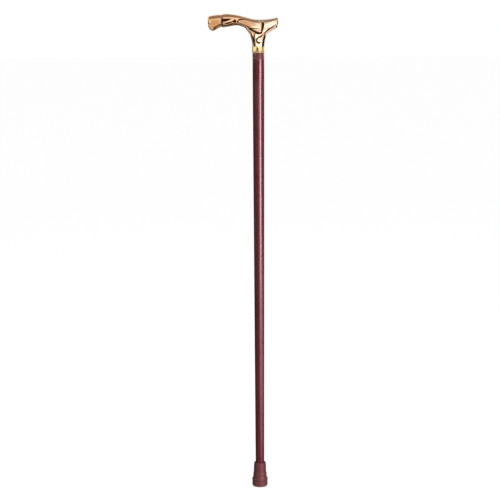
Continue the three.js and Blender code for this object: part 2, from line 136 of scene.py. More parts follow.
def row_at(rows: Sequence[Row], place: float) -> Row:
    """The row at a place, on a smooth curve through rows that are sorted by their first number.

    Args:
        rows: the given rows, place first.
        place: where on them.

    Returns:
        The row there, with as many numbers as the others.
    """
    last = len(rows) - 1
    i = 0
    while i < last - 1 and place > rows[i + 1][0]:
        i += 1
    before, start, end, after = (rows[min(max(k, 0), last)] for k in range(i - 1, i + 3))
    span = end[0] - start[0]
    t = min(1.0, max(0.0, (place - start[0]) / span))
    made = []
    for n in range(len(start)):
        leaving = (end[n] - before[n]) / (end[0] - before[0]) * span
        arriving = (after[n] - start[n]) / (after[0] - start[0]) * span
        near = start[n] * (2 * t**3 - 3 * t**2 + 1) + leaving * (t**3 - 2 * t**2 + t)
        made.append(near + end[n] * (3 * t**2 - 2 * t**3) + arriving * (t**3 - t**2))
    return tuple(made)


def places_along(rows: Sequence[Row], step: float) -> list[float]:
    """Every row's place, with even steps between.

    Args:
        rows: the rows in order, place first.
        step: about how large a step is.

    Returns:
        The places, in order.
    """
    places = [rows[0][0]]
    for start, end in zip(rows, rows[1:]):
        count = max(1, round((end[0] - start[0]) / step))
        places += [start[0] + (end[0] - start[0]) * k / count for k in range(1, count + 1)]
    return places


class Lie(Enum):
    """The way that a drawn-out body runs, with the turn of its first circle."""

    ALONG_X = (0.0, math.pi / 2, 0.0)
    UP_Z = (0.0, 0.0, 0.0)


@dataclass(frozen=True)
class Section:
    """One section of a drawn-out body: its middle, and its half sizes, with 1 for the way that it runs."""

    middle: Row
    half_sizes: Row


@dataclass(frozen=True)
class DrawnBody:
    """A closed body drawn out of one squared-off circle, section by section."""

    lie: Lie
    sides: int = 64
    power: float = 2.3
    nothing: float = 1e-6

    def _square_off(self, piece: Piece) -> None:
        """Move a unit circle's points out to a fuller, rounded-square section.

        Args:
            piece: the circle, in edit mode.
        """
        mesh = bmesh.from_edit_mesh(piece.data)
        for vertex in mesh.verts:
            for n in range(3):
                reach = abs(vertex.co[n])
                if reach > self.nothing:
                    vertex.co[n] = math.copysign(reach ** (2 / self.power), vertex.co[n])
        bmesh.update_edit_mesh(piece.data)

    def draw(self, name: str, sections: Sequence[Section]) -> Piece:
        """Draw the body out.

        Args:
            name: the object's name.
            sections: its sections in order, in metres.

        Returns:
            The new object, closed at both ends.
        """
        start_fresh()
        bpy.ops.mesh.primitive_circle_add(
            vertices=self.sides, radius=1.0, fill_type="NGON", rotation=self.lie.value
        )
        piece = bpy.context.object
        piece.name = name
        bpy.ops.object.transform_apply(location=True, rotation=True, scale=True)
        with editing(piece):
            self._square_off(piece)
            bpy.ops.transform.resize(value=sections[0].half_sizes, center_override=(0.0, 0.0, 0.0))
            bpy.ops.transform.translate(value=sections[0].middle)
            for before, after in zip(sections, sections[1:]):
                shift = Vector(after.middle) - Vector(before.middle)
                bpy.ops.mesh.extrude_region_move(TRANSFORM_OT_translate={"value": shift})
                grown = [new / old for new, old in zip(after.half_sizes, before.half_sizes)]
                bpy.ops.transform.resize(value=grown, center_override=after.middle)
            bpy.ops.mesh.select_all(action="SELECT")
            bpy.ops.mesh.normals_make_consistent(inside=False)
        return piece


def arc(
    centre: tuple[float, float], size: float, start: float, end: float, steps: int = 6
) -> Outline:
    """An outline's points on an arc round a centre, from one angle to another in degrees from outwards."""
    angles = [math.radians(start + (end - start) * k / steps) for k in range(steps + 1)]
    return [(centre[0] + size * math.cos(a), centre[1] + size * math.sin(a)) for a in angles]


@dataclass(frozen=True)
class Turning:
    """A piece turned on a lathe: its half outline is drawn point by point and spun about the shaft."""

    steps: int = 128
    crisp_past: float = 40.0
    weld: float = 0.002

    def spin(self, name: str, outline: Outline, foot_z: float, closed: bool = False) -> Piece:
        """Turn the piece.

        Args:
            name: the object's name.
            outline: its half outline, as radius and height over its foot.
            foot_z: where its foot is, in metres.
            closed: whether the outline ends where it starts, as a ring's does.

        Returns:
            The new object, shaded smooth.
        """
        path = [(radius * MM, foot_z + height * MM) for radius, height in outline]
        if closed:
            path.append(path[0])
        start_fresh()
        bpy.ops.mesh.primitive_plane_add(size=MM, location=(0.0, 0.0, 0.0))
        piece = bpy.context.object
        piece.name = name
        with editing(piece):
            bpy.ops.mesh.merge(type="CENTER")
            bpy.ops.transform.translate(value=(path[0][0], 0.0, path[0][1]))
            for here, there in zip(path, path[1:]):
                step = (there[0] - here[0], 0.0, there[1] - here[1])
                bpy.ops.mesh.extrude_vertices_move(TRANSFORM_OT_translate={"value": step})
            bpy.ops.mesh.select_all(action="SELECT")
            bpy.ops.mesh.remove_doubles(threshold=self.weld * MM)
            turn = {"angle": 2 * math.pi, "center": (0, 0, 0), "axis": (0, 0, 1)}
            bpy.ops.mesh.spin(steps=self.steps, use_auto_merge=True, **turn)
            bpy.ops.mesh.select_all(action="SELECT")
            bpy.ops.mesh.remove_doubles(threshold=self.weld * MM)
            bpy.ops.mesh.normals_make_consistent(inside=False)
        smooth_shade(piece, self.crisp_past)
        return piece


def face_off(piece: Piece, place: Row, outward: Row) -> None:
    """Cut a piece off flat at a place, and take away all that lies outward of it."""
    with editing(piece):
        bpy.ops.mesh.bisect(plane_co=place, plane_no=outward, use_fill=True, clear_outer=True)


def work_rod(
    piece: Piece, how: str, radius: float, length: float, middle: Row, lie: Lie, sides: int = 48
) -> None:
    """Add a round rod to a piece, or cut its shape out of it.

    Args:
        piece: the object to change.
        how: UNION to add the rod, DIFFERENCE to cut.
        radius: its radius.
        length: its length.
        middle: its middle, in metres.
        lie: the way that it runs.
        sides: how many sides it has.
    """
    start_fresh()
    bpy.ops.mesh.primitive_cylinder_add(
        vertices=sides, radius=radius * MM, depth=length * MM, location=middle, rotation=lie.value
    )
    rod = bpy.context.object
    finish_with(piece, "BOOLEAN", operation=how, solver="EXACT", object=rod)
    bpy.data.objects.remove(rod)


# Relief


class Tool(Enum):
    """What a stroke of the chaser's tool leaves in the casting."""

    TRENCH = "a flat-floored cut with steep walls, down to the darkened ground"
    HOLLOW = "a soft dip that stays bright"
    ROLL = "a raised, rounded band"


@dataclass(frozen=True)
class Stroke:
    """One stroke on the handle's side: points of x, height above the seat and width."""

    tool: Tool
    depth: float
    points: tuple[Row, ...]


@dataclass(frozen=True)
class Bead:
    """A half-sunk ball on the handle's side, or a round pit where stands is below zero."""

    x: float
    height: float
    radius: float
    stands: float


def ease(share: np.ndarray) -> np.ndarray:
    """Ease shares from 0 to 1 in and out."""
    return share * share * (3 - 2 * share)


def inside(values: np.ndarray, edge: float, slope: float) -> np.ndarray:
    """1 inside an edge and 0 past it, with a slope of this width inside the edge."""
    return np.clip((edge - values) / slope, 0, 1)


@dataclass(frozen=True)
class Relief:
    """All the relief of one side, cut into both sides of a body.

    A wall or a ground has an edge and a slope, in half widths of the stroke or in radii of the pit.
    """

    strokes: tuple[Stroke, ...]
    beads: tuple[Bead, ...]
    sample_step: float = 0.35
    turn_away: tuple[float, float] = (0.1, 0.36)
    trench_wall: tuple[float, float] = (1.08, 0.5)
    trench_ground: tuple[float, float] = (1.02, 0.3)
    pit_ground: tuple[float, float] = (1.15, 0.2)
    covering_depth: float = 0.6
    dark_ground_from: float = 0.06
    far_off: float = 9.0

    def _curve(self, points: Sequence[Row]) -> np.ndarray:
        """Draw a smooth curve through a stroke's points.

        Args:
            points: the stroke's points.

        Returns:
            An array of x, height and width along the curve.
        """
        ends = [points[0], *points, points[-1]]
        made = []
        for p0, p1, p2, p3 in (np.array(ends[k : k + 4]) for k in range(len(points) - 1)):
            count = max(2, round(float(np.hypot(*(p2 - p1)[:2])) / self.sample_step))
            for t in np.arange(count) / count:
                bend = (2 * p0 - 5 * p1 + 4 * p2 - p3) * t**2 + (3 * p1 - p0 - 3 * p2 + p3) * t**3
                made.append((2 * p1 + (p2 - p0) * t + bend) / 2)
        made.append(np.array(points[-1]))
        return np.array(made)

    def _nearness(self, spots: np.ndarray, points: Sequence[Row]) -> np.ndarray:
        """How far each spot is from a stroke's middle line, in half widths.

        Args:
            spots: x and height of each spot.
            points: the stroke's points.

        Returns:
            The distance of each spot, which is 1 at the stroke's edge.
        """
        curve = self._curve(points)
        reach = curve[:, 2].max()
        low = curve[:, :2].min(0) - reach
        high = curve[:, :2].max(0) + reach
        near = np.all((spots > low) & (spots < high), axis=1)
        made = np.full(len(spots), self.far_off)
        gaps = spots[near][:, None, :] - curve[None, :, :2]
        shares = np.sqrt((gaps**2).sum(2)) / (curve[None, :, 2] / 2)
        if len(shares):
            made[near] = shares.min(1)
        return made

    def cut(self, piece: Piece, seat_z: float) -> None:
        """Cut the relief into a piece, and note in an attribute where the ground is, which the gilt renders
        darker.

        Args:
            piece: the object to carve.
            seat_z: the height of the neck's seat, in metres.
        """
        mesh = piece.data
        count = len(mesh.vertices)
        places, normals = np.empty(count * 3), np.empty(count * 3)
        mesh.vertices.foreach_get("co", places)
        mesh.vertices.foreach_get("normal", normals)
        places, normals = places.reshape(-1, 3), normals.reshape(-1, 3)
        sideways = np.abs(normals[:, 1])
        spots = np.column_stack((places[:, 0], places[:, 2] - seat_z)) / MM
        low, high = self.turn_away
        facing = ease(np.clip((sideways - low) / (high - low), 0, 1))
        sunk, ground, dipped, raised = np.zeros((4, count))
        for stroke in self.strokes:
            share = self._nearness(spots, stroke.points)
            dome = np.clip(1 - share**2, 0, 1)
            if stroke.tool is Tool.TRENCH:
                sunk = np.maximum(sunk, ease(inside(share, *self.trench_wall)) * stroke.depth)
                ground = np.maximum(ground, inside(share, *self.trench_ground))
            elif stroke.tool is Tool.HOLLOW:
                dipped = np.maximum(dipped, dome**2 * stroke.depth)
            else:
                raised = np.maximum(raised, np.sqrt(dome) * stroke.depth)
        rise = (raised - dipped) * inside(sunk, self.covering_depth, self.covering_depth) - sunk
        for bead in self.beads:
            gap = np.hypot(spots[:, 0] - bead.x, spots[:, 1] - bead.height)
            crown = np.sqrt(np.clip(bead.radius**2 - gap**2, 0, None))
            if bead.stands < 0:
                rise = np.minimum(rise, crown / bead.radius * bead.stands)
                ground = np.maximum(ground, inside(gap / bead.radius, *self.pit_ground))
            else:
                lifted = np.where(gap < bead.radius, crown - bead.radius + bead.stands, -np.inf)
                ground = np.where(lifted >= rise, 0, ground)
                rise = np.maximum(rise, lifted)
        places += normals * (rise * facing * MM)[:, None]
        mesh.vertices.foreach_set("co", places.ravel())
        layer = mesh.attributes.new("ground_dark", "FLOAT", "POINT")
        layer.data.foreach_set("value", ground * np.clip(sideways / self.dark_ground_from - 1, 0, 1))
        mesh.update()


# what each tool cuts: a stroke's depth, then its points
STROKES: dict[Tool, tuple[tuple[float | Row, ...], ...]] = {
    Tool.TRENCH: (
        # the deep cut under the broad leaf, and the two that meet it over the curl
        (2.0, (-21.4, 36.2, 2.6), (-17.2, 33.4, 3.6), (-12.0, 30.5, 3.4), (-7.3, 27.9, 3.6),
         (-2.8, 25.4, 4.6), (1.8, 24.4, 4.6), (5.6, 25.3, 3.0)),
        (2.2, (8.9, 44.4, 4.2), (8.6, 40.6, 5.6), (8.1, 35.4, 5.0), (7.0, 30.4, 3.6), (5.8, 25.4, 2.8)),
        (1.8, (33.4, 41.2, 1.4), (28.7, 37.2, 2.4), (24.0, 34.0, 2.8), (19.8, 31.4, 3.0),
         (15.6, 28.4, 3.0), (12.4, 24.0, 2.4), (10.8, 20.6, 1.4)),
        # the curl
        (1.8, (8.2, 21.6, 1.6), (5.4, 18.9, 2.8), (1.4, 17.0, 3.0), (-1.7, 14.7, 2.8), (-3.3, 11.5, 2.8),
         (-2.6, 8.6, 3.0), (0.3, 6.7, 3.2), (3.6, 6.9, 2.0)),
        # the cuts up the back and the front of the neck
        (1.7, (-15.0, 26.4, 1.8), (-13.6, 22.8, 2.8), (-12.0, 19.0, 3.6), (-10.5, 14.6, 4.2),
         (-9.4, 9.5, 4.6), (-8.4, 4.6, 4.2), (-7.6, 1.0, 3.2)),
        (1.3, (-5.6, 24.2, 1.2), (-7.2, 20.4, 1.9), (-7.9, 16.4, 1.9), (-7.3, 12.2, 1.9),
         (-7.2, 8.2, 1.5)),
        (1.7, (12.6, 19.8, 2.8), (11.9, 14.8, 6.0), (11.2, 10.8, 5.6), (10.8, 6.6, 6.6),
         (10.3, 1.2, 6.4)),
        # the crease over the broad leaf and the slit at its stem
        (1.3, (-37.6, 48.0, 1.6), (-34.4, 50.2, 3.0), (-30.0, 50.9, 3.0), (-25.0, 50.9, 2.4),
         (-16.0, 49.2, 1.4), (-8.0, 47.6, 0.9)),
        (1.5, (-37.9, 47.8, 1.6), (-38.5, 45.4, 2.9), (-38.1, 42.8, 1.7)),
        # the ground by the cap, the wedge and the cuts round the petal
        (1.4, (-67.4, 55.0, 2.2), (-67.9, 50.4, 4.0), (-67.9, 45.0, 4.2), (-67.6, 40.2, 3.8),
         (-66.8, 36.8, 2.4)),
        (1.7, (-67.4, 48.4, 6.4), (-63.0, 48.8, 5.8), (-58.6, 49.4, 4.8), (-55.0, 50.1, 3.2),
         (-51.6, 50.8, 1.4)),
        (1.5, (-61.8, 41.8, 1.8), (-58.4, 42.3, 3.0), (-54.0, 43.8, 3.0), (-50.0, 45.2, 2.2),
         (-47.6, 46.2, 1.6)),
        (1.0, (-65.0, 38.0, 1.4), (-59.0, 38.3, 2.0), (-53.0, 39.6, 2.0), (-45.0, 41.0, 1.0)),
    ),
    Tool.HOLLOW: (
        # the veins of the broad leaf and of the prow's leaf
        (0.5, (-34.0, 46.4, 2.0), (-24.0, 44.6, 4.0), (-12.0, 41.6, 5.0), (-2.0, 38.8, 3.0)),
        (0.9, (2.2, 45.2, 3.0), (2.8, 40.0, 4.6), (1.8, 34.0, 4.2), (-0.4, 29.0, 2.0)),
        (0.5, (16.0, 36.0, 2.4), (22.0, 41.0, 4.0), (29.0, 45.0, 2.6)),
        # ribs on the neck's back flank
        (0.8, (-19.4, 33.0, 1.4), (-16.6, 27.0, 2.0), (-14.4, 20.4, 1.8), (-12.6, 12.0, 1.4)),
        (0.8, (-13.2, 29.6, 1.2), (-10.6, 24.0, 2.0), (-9.6, 18.0, 1.2)),
    ),
    Tool.ROLL: (
        # the petal's rim and the strip above it
        (0.7, (-48.4, 49.0, 1.2), (-54.4, 47.4, 1.8), (-60.4, 45.6, 2.1), (-64.0, 44.0, 2.3),
         (-65.0, 41.6, 2.3), (-62.8, 39.6, 2.2), (-58.6, 39.6, 2.2), (-53.4, 41.0, 2.0),
         (-46.0, 43.0, 1.2)),
        (0.6, (-66.0, 55.6, 3.0), (-60.0, 56.4, 4.4), (-52.0, 56.0, 4.8), (-44.0, 54.8, 4.4),
         (-36.0, 53.4, 2.4)),
        # the rim of the prow's leaf and the lip below it
        (0.5, (13.0, 43.4, 1.6), (12.2, 38.0, 2.2), (11.6, 32.6, 2.2), (10.4, 27.4, 1.4)),
        (0.7, (34.6, 38.4, 2.0), (30.0, 34.2, 2.8), (24.6, 30.6, 3.0), (19.6, 27.2, 3.0),
         (16.2, 23.4, 2.4), (14.2, 19.2, 1.6)),
        # the scroll's band, down into the neck
        (0.9, (6.4, 23.0, 1.8), (1.4, 21.0, 2.8), (-3.0, 18.6, 3.0), (-5.4, 15.0, 2.8), (-5.8, 10.4, 2.6),
         (-4.6, 5.6, 2.6), (-1.0, 2.9, 2.4), (4.6, 2.8, 1.6)),
    ),
}
BEADS = (Bead(3.0, 12.4, 4.8, 1.6), Bead(-44.0, 46.6, 3.1, -2.0), Bead(34.6, 36.4, 1.8, -1.3))
LEAF_AND_SCROLL = Relief(
    tuple(Stroke(tool, row[0], row[1:]) for tool, rows in STROKES.items() for row in rows), BEADS
)


# Finishes


@dataclass(frozen=True)
class Mottle:
    """A noise: its features to a metre, its finer layers, what it is spread between, and its stretch.

    Each end of the spread is a value of the noise and what that becomes. A stretch below 1 draws the
    pattern out.
    """

    scale: float
    layers: float
    ends: tuple[Row, Row] | None = None
    stretch: Row = (1.0, 1.0, 1.0)


class Tree:
    """A node tree, with its nodes added and wired in turn."""

    def __init__(self, owner: Material | bpy.types.World) -> None:
        """Take a tree up and empty it.

        Args:
            owner: the material or the world that it belongs to.
        """
        owner.use_nodes = True
        self.owner = owner
        self.nodes, self.links = owner.node_tree.nodes, owner.node_tree.links
        self.nodes.clear()

    def add(self, kind: str, **properties: object) -> bpy.types.Node:
        """Add a node.

        Args:
            kind: the node's type.
            properties: its properties.

        Returns:
            The new node.
        """
        node = self.nodes.new(kind)
        for name, value in properties.items():
            setattr(node, name, value)
        return node

    def put(self, node: bpy.types.Node, **values: object) -> None:
        """Set a node's inputs.

        Args:
            node: the node.
            values: each input's value by its name, with _ for a space.
        """
        for name, value in values.items():
            socket = node.inputs[name.replace("_", " ")]
            socket.default_value = (*value, 1.0) if socket.type == "RGBA" else value

    def join(self, source: Socket, target: Socket) -> None:
        """Wire one socket to another."""
        self.links.new(source, target)

    def put_out(self, source: Socket, kind: str = "ShaderNodeOutputMaterial") -> None:
        """Wire a shader to the tree's output."""
        self.join(source, self.add(kind).inputs["Surface"])

    def spread(self, source: Socket, low: Row, high: Row) -> Socket:
        """Map a stretch of values to another.

        Args:
            source: the values.
            low: the lower end, before and after.
            high: the upper end, before and after.

        Returns:
            The mapped values.
        """
        node = self.add("ShaderNodeMapRange")
        self.put(node, From_Min=low[0], To_Min=low[1], From_Max=high[0], To_Max=high[1])
        self.join(source, node.inputs["Value"])
        return node.outputs["Result"]

    def reckon(self, kind: str, first: Socket, second: Socket | float) -> Socket:
        """Reckon with two values.

        Args:
            kind: ADD, MULTIPLY, MAXIMUM or MINIMUM.
            first: the first value.
            second: the second value.

        Returns:
            The result.
        """
        node = self.add("ShaderNodeMath", operation=kind)
        self.join(first, node.inputs[0])
        if isinstance(second, float):
            node.inputs[1].default_value = second
        else:
            self.join(second, node.inputs[1])
        return node.outputs["Value"]

    def seen_directly(self) -> Socket:
        """Tell the rays that show a thing to the camera, also off metal and through glass.

        Returns:
            1 for those rays, 0 for any other.
        """
        paths = self.add("ShaderNodeLightPath")
        seen = paths.outputs["Is Camera Ray"]
        for name in ("Is Glossy Ray", "Is Transmission Ray"):
            seen = self.reckon("MAXIMUM", seen, paths.outputs[name])
        return seen


class Bench(Tree):
    """One new surface material."""

    def __init__(self, name: str) -> None:
        """Start the material with a shader, an output and Object coordinates.

        Args:
            name: the material's name.
        """
        super().__init__(bpy.data.materials.new(name))
        self.shader = self.add("ShaderNodeBsdfPrincipled")
        self.put_out(self.shader.outputs["BSDF"])
        self.coordinates = self.add("ShaderNodeTexCoord").outputs["Object"]

    def feed(self, name: str, source: Socket) -> None:
        """Wire a socket to one of the shader's, by name."""
        self.join(source, self.shader.inputs[name])

    def along(self, axis: str) -> Socket:
        """Measure along an axis.

        Args:
            axis: X, Y or Z.

        Returns:
            The place on it, in metres.
        """
        split = self.add("ShaderNodeSeparateXYZ")
        self.join(self.coordinates, split.inputs["Vector"])
        return split.outputs[axis]

    def mottle(self, look: Mottle) -> Socket:
        """Lay a noise over the material's Object coordinates.

        Args:
            look: the noise.

        Returns:
            Its factor, spread between its ends.
        """
        place = self.add("ShaderNodeMapping")
        self.put(place, Scale=look.stretch)
        self.join(self.coordinates, place.inputs["Vector"])
        texture = self.add("ShaderNodeTexNoise")
        self.put(texture, Scale=look.scale, Detail=look.layers)
        self.join(place.outputs["Vector"], texture.inputs["Vector"])
        factor = texture.outputs["Fac"]
        return self.spread(factor, *look.ends) if look.ends else factor

    def blend(self, share: Socket, first: Colour | Socket, second: Colour | Socket) -> Socket:
        """Mix two colours.

        Args:
            share: the second colour's share, from 0 to 1.
            first: the first colour.
            second: the second colour.

        Returns:
            The mixed colour.
        """
        node = self.add("ShaderNodeMix", data_type="RGBA")
        self.join(share, node.inputs["Factor"])
        for socket, colour in ((node.inputs["A"], first), (node.inputs["B"], second)):
            if isinstance(colour, tuple):
                socket.default_value = (*colour, 1.0)
            else:
                self.join(colour, socket)
        return node.outputs["Result"]

    def bump(self, height: Socket, depth: float) -> None:
        """Raise the surface by a height map.

        Args:
            height: the map, from 0 to 1.
            depth: how far 1 stands up.
        """
        node = self.add("ShaderNodeBump")
        self.put(node, Strength=1.0, Distance=depth * MM)
        self.join(height, node.inputs["Height"])
        self.feed("Normal", node.outputs["Normal"])


@dataclass(frozen=True)
class Gilt:
    """Polished gold plating over a casting, with a painted highlight that pales it towards the prow, and
    darker in its relief's ground.
    """

    name: str = "gilt"
    gold: Colour = (0.94, 0.57, 0.33)
    warm: Colour = (0.90, 0.49, 0.26)
    # painted highlight: the plate turns paler towards the neck and the prow, where the lamp from the right
    # falls
    pale: Colour = (0.95, 0.65, 0.44)
    prow_highlight_between: tuple[float, float] = (-14.0, -2.0)
    ground: Colour = (0.026, 0.011, 0.004)
    ground_roughness: float = 0.4
    coat: float = 0.3
    coat_roughness: float = 0.06
    coat_ends_at: float = 0.6
    cloud: Mottle = Mottle(60, 4, ((0.35, 0.0), (0.7, 1.0)))
    speckle: Mottle = Mottle(1800, 2, ((0.3, 0.95), (0.7, 1.1)))
    wear: Mottle = Mottle(420, 6, ((0.3, 0.11), (0.7, 0.19)))
    ripple: Mottle = Mottle(300, 2)
    ripple_depth: float = 0.012

    def build(self) -> Material:
        """Make the material.

        Returns:
            The new material.
        """
        bench = Bench(self.name)
        bench.put(bench.shader, Metallic=1.0, Coat_Roughness=self.coat_roughness)
        rich = bench.blend(bench.mottle(self.cloud), self.gold, self.warm)
        # blend in the painted highlight along X, paler towards the prow
        low, high = self.prow_highlight_between
        highlight_share = bench.spread(bench.along("X"), (low * MM, 0.0), (high * MM, 1.0))
        plate_with_highlight = bench.blend(highlight_share, rich, self.pale)
        # darker and rougher where the ground attribute marks the relief's ground
        ground_dark = bench.add("ShaderNodeAttribute", attribute_name="ground_dark").outputs["Fac"]
        speckled = bench.reckon("MULTIPLY", ground_dark, bench.mottle(self.speckle))
        dark = bench.reckon("MINIMUM", speckled, 1.0)
        bench.feed("Base Color", bench.blend(dark, plate_with_highlight, self.ground))
        bench.feed("Coat Weight", bench.spread(dark, (0.0, self.coat), (self.coat_ends_at, 0.0)))
        rough_ground = bench.reckon("MULTIPLY", dark, self.ground_roughness)
        bench.feed("Roughness", bench.reckon("ADD", bench.mottle(self.wear), rough_ground))
        bench.bump(bench.mottle(self.ripple), self.ripple_depth)
        return bench.owner


@dataclass(frozen=True)
class TurnedMetal:
    """A metal with the fine rings that a turning tool or a polishing belt leaves."""

    name: str
    colour: Colour
    dull: Colour
    smooth: float
    rough: float
    cloud: Mottle = Mottle(150, 5, ((0.4, 0.0), (0.7, 1.0)))
    rings: Mottle = Mottle(2600, 2, None, (0.02, 0.02, 1.0))
    rings_between: tuple[float, float] = (0.3, 0.7)
    ring_depth: float = 0.006

    def build(self) -> Material:
        """Make the material.

        Returns:
            The new material.
        """
        bench = Bench(self.name)
        bench.put(bench.shader, Metallic=1.0)
        bench.feed("Base Color", bench.blend(bench.mottle(self.cloud), self.colour, self.dull))
        rings = bench.mottle(self.rings)
        low, high = self.rings_between
        bench.feed("Roughness", bench.spread(rings, (low, self.smooth), (high, self.rough)))
        bench.bump(rings, self.ring_depth)
        return bench.owner


@dataclass(frozen=True)
class Lacquer:
    """Hardwood under burgundy lacquer: faint grain below, a soft gloss on top."""

    name: str = "burgundy_lacquer"
    light: Colour = (0.165, 0.031, 0.037)
    deep: Colour = (0.112, 0.018, 0.024)
    gloss: float = 1.0
    gloss_tint: Colour = (1.0, 0.62, 0.68)
    coat: float = 0.15
    coat_roughness: float = 0.2
    grain: Mottle = Mottle(900, 4, None, (1.0, 1.0, 0.012))
    cloud: Mottle = Mottle(22, 3, None, (1.0, 1.0, 0.3))
    figure_between: tuple[float, float] = (0.38, 0.62)
    rub: Mottle = Mottle(260, 5, ((0.3, 0.17), (0.7, 0.26)))
    pores: Mottle = Mottle(700, 3, None, (1.0, 1.0, 0.03))
    pore_depth: float = 0.01

    def build(self) -> Material:
        """Make the material.

        Returns:
            The new material.
        """
        bench = Bench(self.name)
        bench.put(bench.shader, Specular_IOR_Level=self.gloss, Specular_Tint=self.gloss_tint)
        bench.put(bench.shader, Coat_Weight=self.coat, Coat_Roughness=self.coat_roughness)
        both = bench.reckon("ADD", bench.mottle(self.grain), bench.mottle(self.cloud))
        low, high = self.figure_between
        figure = bench.spread(bench.reckon("MULTIPLY", both, 0.5), (low, 0.0), (high, 1.0))
        bench.feed("Base Color", bench.blend(figure, self.light, self.deep))
        bench.feed("Roughness", bench.mottle(self.rub))
        bench.bump(bench.mottle(self.pores), self.pore_depth)
        return bench.owner


@dataclass(frozen=True)
class FootRubber:
    """Moulded reddish-brown rubber, dusty and scuffed towards the ground."""

    name: str = "foot_rubber"
    fresh: Colour = (0.185, 0.046, 0.049)
    worn: Colour = (0.165, 0.080, 0.068)
    sheen: float = 0.9
    sheen_tint: Colour = (1.0, 0.55, 0.58)
    scuffed_below: float = 11.0
    scuffs: Mottle = Mottle(260, 5, ((0.35, 0.0), (0.65, 1.2)))
    dust: Mottle = Mottle(90, 4, ((0.5, 0.0), (0.8, 0.25)))
    roughness: Mottle = Mottle(500, 3, ((0.3, 0.36), (0.7, 0.5)))
    skin: Mottle = Mottle(2400, 3)
    skin_depth: float = 0.02

    def build(self) -> Material:
        """Make the material.

        Returns:
            The new material.
        """
        bench = Bench(self.name)
        bench.put(bench.shader, Specular_IOR_Level=self.sheen, Specular_Tint=self.sheen_tint)
        low = bench.spread(bench.along("Z"), (0.0, 1.0), (self.scuffed_below * MM, 0.0))
        scuffed = bench.reckon("MULTIPLY", low, bench.mottle(self.scuffs))
        share = bench.reckon("MINIMUM", bench.reckon("ADD", scuffed, bench.mottle(self.dust)), 1.0)
        bench.feed("Base Color", bench.blend(share, self.fresh, self.worn))
        bench.feed("Roughness", bench.mottle(self.roughness))
        bench.bump(bench.mottle(self.skin), self.skin_depth)
        return bench.owner


@dataclass(frozen=True)
class PlainNylon:
    """Natural nylon, slightly milky."""

    name: str = "nylon"
    colour: Colour = (0.70, 0.67, 0.58)
    stained: Colour = (0.58, 0.54, 0.44)
    milkiness: float = 0.1
    cloud: Mottle = Mottle(300, 4, ((0.4, 0.0), (0.7, 1.0)))
    roughness: Mottle = Mottle(900, 3, ((0.3, 0.42), (0.7, 0.55)))

    def build(self) -> Material:
        """Make the material.

        Returns:
            The new material.
        """
        bench = Bench(self.name)
        bench.put(bench.shader, Subsurface_Weight=self.milkiness)
        bench.feed("Base Color", bench.blend(bench.mottle(self.cloud), self.colour, self.stained))
        bench.feed("Roughness", bench.mottle(self.roughness))
        return bench.owner


# The pieces


def settle(piece: Piece, body: str, node: str, finish: Material) -> None:
    """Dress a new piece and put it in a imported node's place.

    Args:
        piece: the finished object.
        body: the body that it moves with.
        node: the node that it stands for.
        finish: its material.
    """
    piece.data.materials.clear()
    piece.data.materials.append(finish)
    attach(piece, body)
    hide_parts(node)
    LOG.info("%s: %d faces, for %s", piece.name, len(piece.data.polygons), node)


